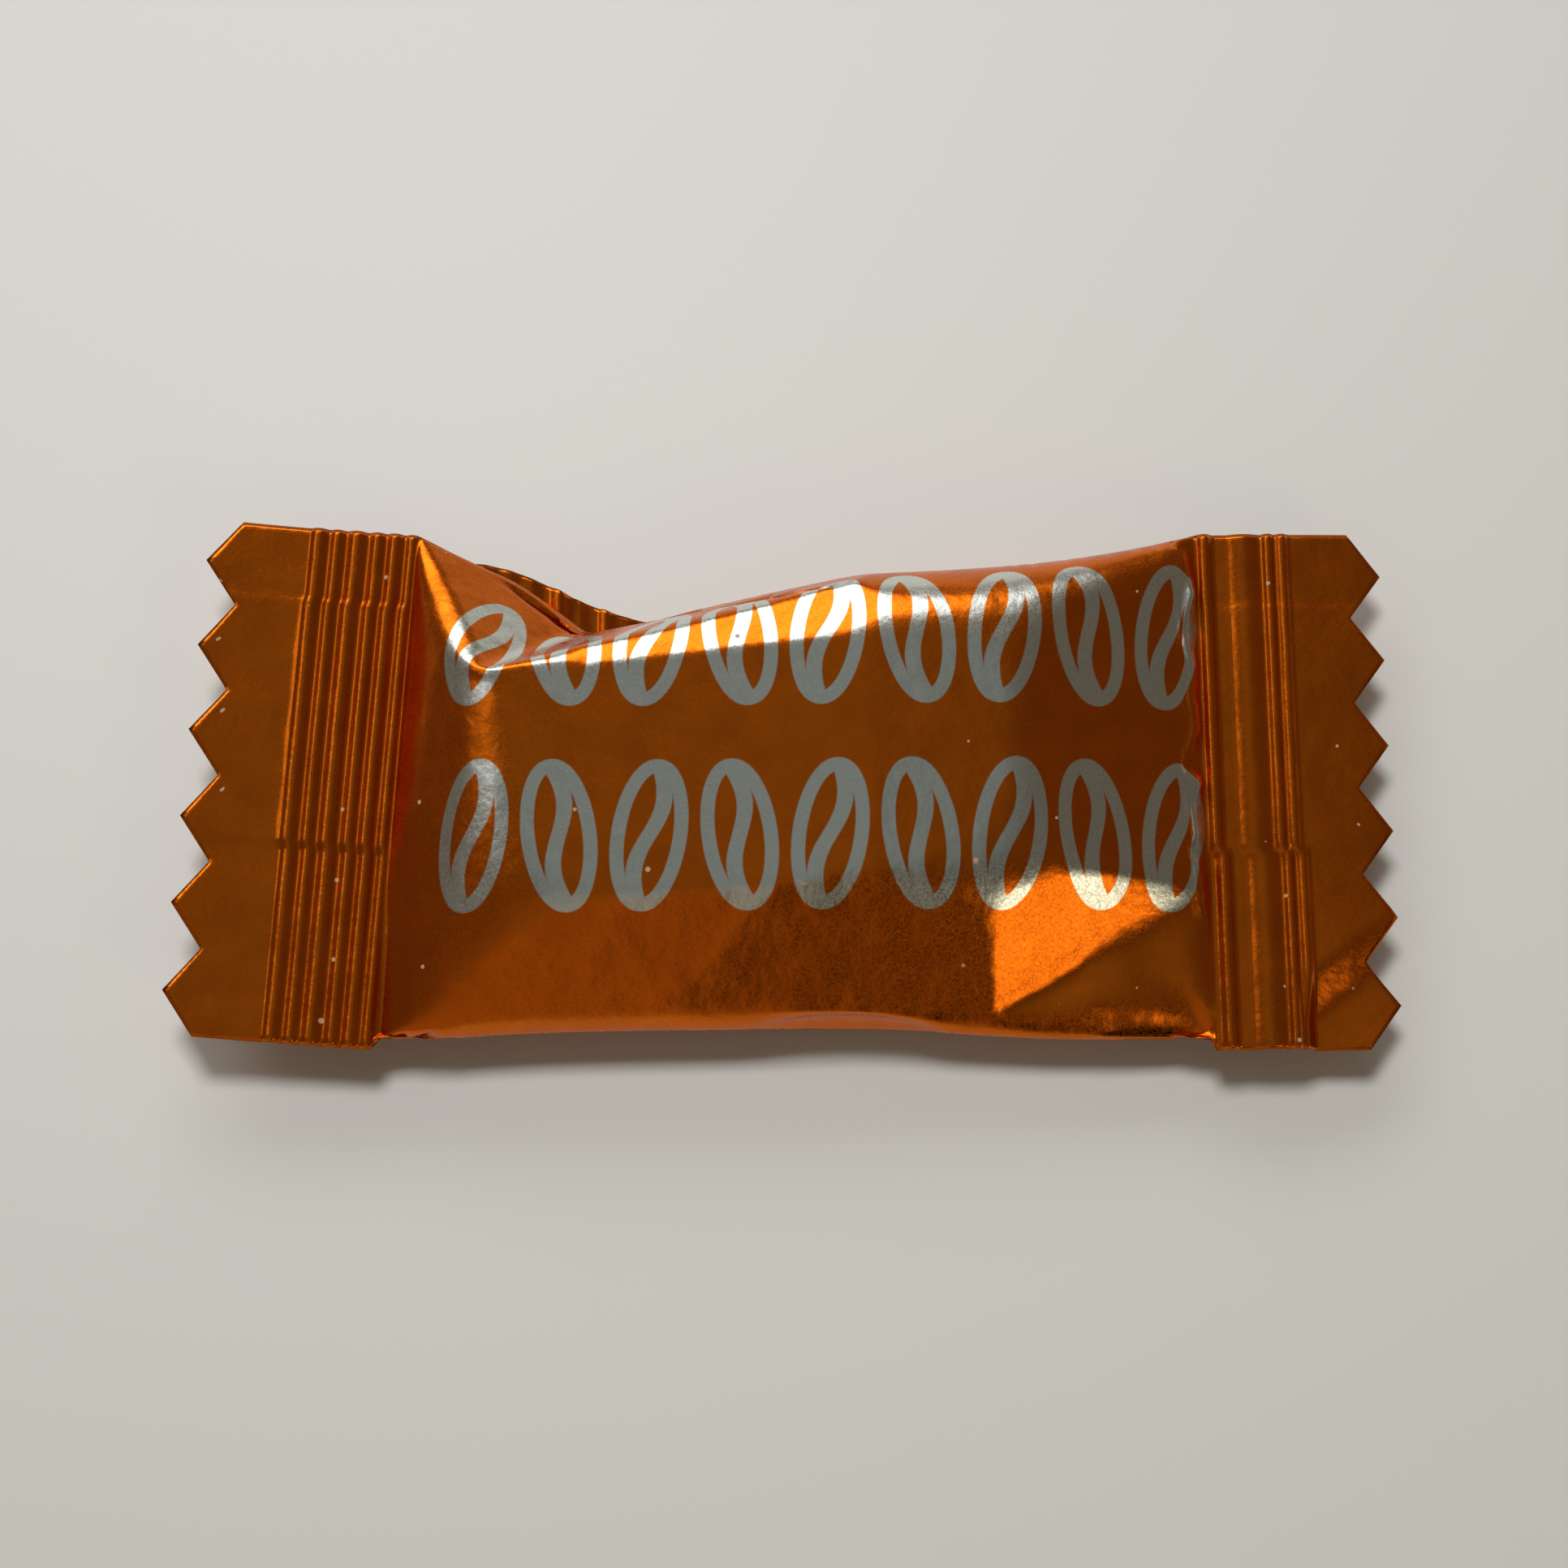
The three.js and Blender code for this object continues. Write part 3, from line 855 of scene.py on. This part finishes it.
def blend(tree, share, first, second):
    """The first colour where the share is 0, and the second where it is 1."""
    return add(tree, "ShaderNodeMix", {0: share, 6: first, 7: second}, data_type="RGBA").outputs[2]


def sums(tree):
    """Makes sums such as calc("ADD", a, b), which give the socket of their answer."""

    def calc(operation, *values, clamp=False):
        made = add(tree, "ShaderNodeMath", dict(enumerate(values)), operation=operation, use_clamp=clamp)
        return made.outputs[0]

    return calc


# %% [markdown]
# ### The print
#
# The print is two rows of coffee beans in outline, drawn in bare aluminium with strokes of one weight. It
# could be a picture laid on the film, but a picture blurs up close, and these shapes are easy to work out. A
# stroke is all the points that are nearer than half its width to a line. So for each point the sums work out
# how far it is from the line. Each row is cut into cells with a bean in each. A bean is an ellipse, leaning
# by turns to either side, with an S for its crease.

# %% Sizes of the print
STROKE = 0.62
PRINT_EDGE = 0.05  # how soft a stroke's edge is
BEAN_HALF_WIDTH = 1.35
BEAN_HALF_HEIGHT = 3.15
BEAN_PITCH = 3.95
BEAN_LEAN = 0.14  # in radians
BEAN_CREASE = 0.42  # how far the S swings to either side
CREASE_SLANT = 0.87  # the S slants, so it is nearer than it is sideways
BEANS = 9
ROW_MIDDLE = 1.5
UPPER_ROW, LOWER_ROW = 6.9, -2.4
print(f"a row of beans is {BEANS * BEAN_PITCH:.2f} mm long")


# %% Strokes
def ink_within(calc, distance):
    """1 on a stroke and 0 off it, with a soft edge."""
    reach = STROKE / 2 + PRINT_EDGE / 2
    return calc("DIVIDE", calc("SUBTRACT", reach, distance), PRINT_EDGE, clamp=True)


def length_of(calc, x, y):
    return calc("SQRT", calc("ADD", calc("MULTIPLY", x, x), calc("MULTIPLY", y, y)))


# %% One bean, from the place in its cell
def bean(calc, x, y):
    across, up = calc("DIVIDE", x, BEAN_HALF_WIDTH), calc("DIVIDE", y, BEAN_HALF_HEIGHT)
    reach = length_of(calc, across, up)  # 1 on the ellipse
    steep = length_of(calc, calc("DIVIDE", across, BEAN_HALF_WIDTH), calc("DIVIDE", up, BEAN_HALF_HEIGHT))
    from_outline = calc("MULTIPLY", calc("ABSOLUTE", calc("SUBTRACT", reach, 1.0)),
                        calc("DIVIDE", reach, calc("MAXIMUM", steep, 0.001)))
    swing = calc("MULTIPLY", calc("SINE", calc("MULTIPLY", y, math.pi / BEAN_HALF_HEIGHT)), BEAN_CREASE)
    from_crease = calc("MULTIPLY", calc("ABSOLUTE", calc("SUBTRACT", x, swing)), CREASE_SLANT)
    crease = calc("MULTIPLY", ink_within(calc, from_crease), calc("LESS_THAN", reach, 1.0))
    return calc("MAXIMUM", ink_within(calc, from_outline), crease)


# %% One row of beans
def bean_row(calc, x, y, y_middle):
    length = BEANS * BEAN_PITCH
    along = calc("SUBTRACT", x, ROW_MIDDLE - length / 2)
    up = calc("SUBTRACT", y, y_middle)
    cell = calc("FLOOR", calc("DIVIDE", along, BEAN_PITCH))
    across = calc("SUBTRACT", calc("SUBTRACT", along, calc("MULTIPLY", cell, BEAN_PITCH)), BEAN_PITCH / 2)
    by_turns = calc("SUBTRACT", 1.0, calc("MULTIPLY", calc("FLOORED_MODULO", cell, 2.0), 2.0))
    lean, straight = calc("MULTIPLY", by_turns, math.sin(BEAN_LEAN)), math.cos(BEAN_LEAN)
    bean_x = calc("SUBTRACT", calc("MULTIPLY", across, straight), calc("MULTIPLY", up, lean))
    bean_y = calc("ADD", calc("MULTIPLY", up, straight), calc("MULTIPLY", across, lean))
    in_row = calc("MULTIPLY", calc("GREATER_THAN", along, 0.0), calc("LESS_THAN", along, length))
    return calc("MULTIPLY", bean(calc, bean_x, bean_y), in_row)


# %% [markdown]
# ### Dust
#
# A few specks of dust lie on the pack. Each could be a tiny mesh, but at this size only its colour and its
# dullness show. So in its spot the foil is pale, and its metal is turned off. Cells of random shape share the
# film out, and two in five have a speck, at the point they grew from.

# %% A few specks
DUST_SPACING = 3.6
DUST_SHARE = 0.4  # of the cells
SPECK = 0.13  # the largest speck's radius
DUST_COLOUR = (0.9, 0.66, 0.45, 1)


def dust(tree, calc, x, y):
    place = add(tree, "ShaderNodeCombineXYZ", {0: x, 1: y}).outputs[0]
    cells = add(tree, "ShaderNodeTexVoronoi", {"Vector": place, "Scale": 1 / DUST_SPACING},
                voronoi_dimensions="2D")
    draws = add(tree, "ShaderNodeSeparateColor", {0: cells.outputs["Color"]})
    radius = calc("MULTIPLY", draws.outputs[1], SPECK / DUST_SPACING)
    return calc("MULTIPLY", calc("LESS_THAN", draws.outputs[0], DUST_SHARE),
                calc("LESS_THAN", cells.outputs["Distance"], radius))


# %% [markdown]
# ### The foil itself
#
# Two noises make it look like film and not like sheet metal. A coarse one is the cockle that a hand leaves:
# it bends the reflections and shades the lacquer a little. A fine one is the film's grain, which scatters
# them. Both could be modelled, but they are too shallow to be seen as anything but a change in the
# reflections, so they are bumps in the material. The printed film and the plain one on the fin differ in the
# print and the dust alone.

# %% Colours, as linear values
COPPER = (0.74, 0.155, 0.007)
SILVER = (0.72, 0.76, 0.71, 1)
print("the lacquer is", COPPER)


# %% The print and the dust over the lacquer's colour
def printed(tree, calc, lacquer):
    """Gives the colour, and how much of the surface is metal."""
    spot = add(tree, "ShaderNodeUVMap", uv_map="film").outputs[0]
    parts = add(tree, "ShaderNodeSeparateXYZ", {0: spot})
    x = calc("ADD", calc("MULTIPLY", parts.outputs[0], film_at[-1] - film_at[0]), film_at[0])
    y = calc("SUBTRACT", calc("MULTIPLY", parts.outputs[1], GIRTH), HALF_WIDTH)
    ink = calc("MAXIMUM", bean_row(calc, x, y, UPPER_ROW), bean_row(calc, x, y, LOWER_ROW))
    speck = dust(tree, calc, x, y)
    colour = blend(tree, speck, blend(tree, ink, lacquer, SILVER), DUST_COLOUR)
    return colour, calc("SUBTRACT", 1.0, speck)


# %% The two noises
GRAIN_PACE, COCKLE_PACE = 9.0, 0.55  # to the mm
GRAIN_DEPTH, COCKLE_DEPTH = 0.02, 0.3  # in mm
GRAIN_STRENGTH, COCKLE_STRENGTH = 0.22, 0.25
NOISE = (0.3, 0.7)  # nearly all of a noise lies between these
print(f"a cockle is as wide as {GRAIN_PACE / COCKLE_PACE:.0f} grains")


def noises(tree):
    place = add(tree, "ShaderNodeTexCoord").outputs["Object"]
    mm = add(tree, "ShaderNodeMapping", {"Vector": place, "Scale": (1 / MM,) * 3}).outputs[0]
    grain = add(tree, "ShaderNodeTexNoise", {"Vector": mm, "Scale": GRAIN_PACE, "Detail": 2.0})
    cockle = add(tree, "ShaderNodeTexNoise", {"Vector": mm, "Scale": COCKLE_PACE, "Detail": 3.0})
    return grain.outputs["Fac"], cockle.outputs["Fac"]


def bumps(tree, grain, cockle):
    ripple = {"Height": cockle, "Strength": COCKLE_STRENGTH, "Distance": COCKLE_DEPTH * MM}
    under = add(tree, "ShaderNodeBump", ripple).outputs[0]
    fine = {"Height": grain, "Strength": GRAIN_STRENGTH, "Distance": GRAIN_DEPTH * MM}
    return add(tree, "ShaderNodeBump", {**fine, "Normal": under}).outputs[0]


# %% The whole finish
SHADES = (0.9, 1.06)  # what the cockle does to the lacquer's colour
ROUGHNESS = (0.22, 0.34)  # satin


def foil_finish(name, with_print):
    material = bpy.data.materials.new(name)
    material.use_nodes = True
    tree = material.node_tree
    shader = tree.nodes["Principled BSDF"]
    grain, cockle = noises(tree)
    shade = ramp(tree, cockle, *NOISE, *SHADES)
    colour = add(tree, "ShaderNodeVectorMath", {0: COPPER, 3: shade}, operation="SCALE").outputs[0]
    shader.inputs["Metallic"].default_value = 1
    if with_print:
        colour, metal = printed(tree, sums(tree), colour)
        tree.links.new(metal, shader.inputs["Metallic"])
    tree.links.new(colour, shader.inputs["Base Color"])
    tree.links.new(ramp(tree, grain, *NOISE, *ROUGHNESS), shader.inputs["Roughness"])
    tree.links.new(bumps(tree, grain, cockle), shader.inputs["Normal"])
    print(name, "has", len(tree.nodes), "nodes")
    return material


foil.data.materials.append(foil_finish("printed_foil", with_print=True))
fin.data.materials.append(foil_finish("plain_foil", with_print=False))

# %% [markdown]
# ## The pieces stand for the solid
#
# The solid stays in the frame for weight and contact. Both pieces ride on its body and hide it.

# %% Tie them to it
for piece in (foil, fin):
    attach(piece, "root")
    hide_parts("wrapped_candy")
    print(piece.name, "replaces wrapped_candy")

# %% [markdown]
# ## The floor
#
# Under the pack is a pale top, slightly dull. It could be a thick board, but only its upper side is seen, so
# it is a plain plane. It goes on far past the view, so that no edge shows.

# %% A pale floor
FLOOR_SIZE = 6  # in metres
FLOOR_COLOUR = (0.62, 0.62, 0.585, 1)
FLOOR_ROUGHNESS = 0.5
bpy.ops.mesh.primitive_plane_add(size=FLOOR_SIZE, location=(0, 0, 0))
floor = bpy.context.object
floor.name = "floor"
paint = bpy.data.materials.new("pale_floor")
paint.use_nodes = True
matt = paint.node_tree.nodes["Principled BSDF"]
matt.inputs["Base Color"].default_value = FLOOR_COLOUR
matt.inputs["Roughness"].default_value = FLOOR_ROUGHNESS
floor.data.materials.append(paint)
floor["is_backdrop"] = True
print("the floor is", FLOOR_SIZE, "m wide")

# %% [markdown]
# ## The lights
#
# Foil shows what it mirrors, so each light stands where the facet that should be bright mirrors it towards
# the camera. The window is long and low behind the pack, and lights the far shoulder. The lamp stands near on
# the right, is warmer, and lights the ear beside the right crimp. A weak light from the left draws the ribs.
# All of these are too weak for the floor, and a light for the floor would show in the foil. So the floor has
# one of its own, which lights nothing else.


# %% A soft light, aimed at the pack
PACK_MIDDLE = (0, 0, 0.004)  # in metres, as the lights' places and sizes are


def aim(thing, place, target=PACK_MIDDLE):
    thing.location = place
    thing.rotation_euler = (Vector(place) - Vector(target)).to_track_quat("Z", "Y").to_euler()


def softbox(name, place, size, watts, colour=(1, 1, 1)):
    light = bpy.data.lights.new(name, "AREA")
    light.color = colour
    light.shape = "RECTANGLE"
    light.size, light.size_y = size
    light.energy = watts
    made = bpy.data.objects.new(name, light)
    bpy.context.scene.collection.objects.link(made)
    aim(made, place)
    print(name, "gives", watts, "W")
    return made


# %% The lights for the foil
LAMP_COLOUR = (1, 0.84, 0.6)
softbox("window", place=(-0.08, 0.27, 0.19), size=(0.3, 0.14), watts=0.45)
softbox("side", place=(-0.21, 0.09, 0.25), size=(0.08, 0.12), watts=0.035)
softbox("lamp", place=(0.155, -0.185, 0.18), size=(0.09, 0.09), watts=0.07, colour=LAMP_COLOUR)

# %% The light for the floor alone
table_light = softbox("table_light", place=(-0.04, 0.13, 0.4), size=(0.1, 0.08), watts=0.95)
lit = bpy.data.collections.new("table_top")
lit.objects.link(floor)
table_light.light_linking.receiver_collection = lit

# %% [markdown]
# ## The room
#
# What isn't a light is still mirrored, so the room's own brightness shades the facets. Where the pack faces
# straight up it mirrors a cool, even ceiling. Where it leans, it mirrors warm walls. To either side they are
# darker. On the near side they are brighter on the left, and darker past the pack's middle, which is why the
# near shoulder changes shade there. The room could be built of panels, but they would be in the way of the
# lights. So it is a sky, worked out from the direction alone.

# %% Where a mirrored direction points
ROOM = 0.22  # the brightness overhead
world = bpy.data.worlds.new("room")
bpy.context.scene.world = world
world.use_nodes = True
tree = world.node_tree
background = tree.nodes["Background"]
calc = sums(tree)
way = add(tree, "ShaderNodeSeparateXYZ", {0: add(tree, "ShaderNodeTexCoord").outputs["Generated"]})
to_x, to_y, to_z = way.outputs
print("the room's brightness is", ROOM)

# %% Its brightness
# Each pair says where a change begins and ends, as the direction's x or y, which goes from -1 to 1.
ASIDE, DARKER_ASIDE = (0.02, 0.35), 0.1
NEAR, BRIGHTER_NEAR = (-0.15, -0.65), 0.17
MIDDLE_OF_NEAR, ON_THE_RIGHT = (0.02, 0.09), -1.2  # times the brighter, so on the right it is darker
aside = ramp(tree, calc("ABSOLUTE", to_x), *ASIDE, 0, DARKER_ASIDE)
near = ramp(tree, to_y, *NEAR, 0, BRIGHTER_NEAR)
left_to_right = ramp(tree, to_x, *MIDDLE_OF_NEAR, 1, ON_THE_RIGHT)
level = calc("ADD", calc("SUBTRACT", ROOM, aside), calc("MULTIPLY", near, left_to_right))
tree.links.new(level, background.inputs["Strength"])
print("the near wall's brightness is", round(ROOM + BRIGHTER_NEAR, 2), "on the left")

# %% Its colour
OVERHEAD = (1, 1.05, 0.99, 1)
WALLS = (1, 0.78, 0.6, 1)
LOW_DOWN = (0.96, 0.8)
low_down = ramp(tree, to_z, *LOW_DOWN, 0, 1)
tree.links.new(blend(tree, low_down, OVERHEAD, WALLS), background.inputs["Color"])
print("overhead it is", OVERHEAD[:3], "and its walls are", WALLS[:3])

# %% [markdown]
# ## The camera
#
# It looks at the print from the photo's angle, almost square on, and from as near as the photo's camera was,
# which makes the near edge a little larger. The standard view keeps bright foil golden, where a filmic one
# would turn it pink or white.

# %% Place the camera
ELEVATION = math.radians(78)
DISTANCE = 0.17
SENSOR = 36  # its width, in mm
VIEW_WIDTH = 0.0715  # what the picture takes in at the pack, in metres
LOOK_AT = (0, 0, SEAL * MM)
view = bpy.data.cameras.new("camera")
view.lens = SENSOR * DISTANCE / VIEW_WIDTH
camera = bpy.data.objects.new("camera", view)
bpy.context.scene.collection.objects.link(camera)
aim(camera, (0, -DISTANCE * math.cos(ELEVATION), LOOK_AT[2] + DISTANCE * math.sin(ELEVATION)), LOOK_AT)
bpy.context.scene.camera = camera
bpy.context.scene.view_settings.view_transform = "Standard"
print(f"a lens of {view.lens:.0f} mm, {DISTANCE / MM:.0f} mm away")

# %% [markdown]
# ## The film's height over the solid
#
# The film may stand a little proud of the solid, but not more. The tops of both boxes are compared, and the
# difference is printed.

# %% How proud it stands
proud = (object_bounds()[1][2] - solid_box[1][2]) / MM
print(f"the film stands {proud:.2f} mm proud of the solid")
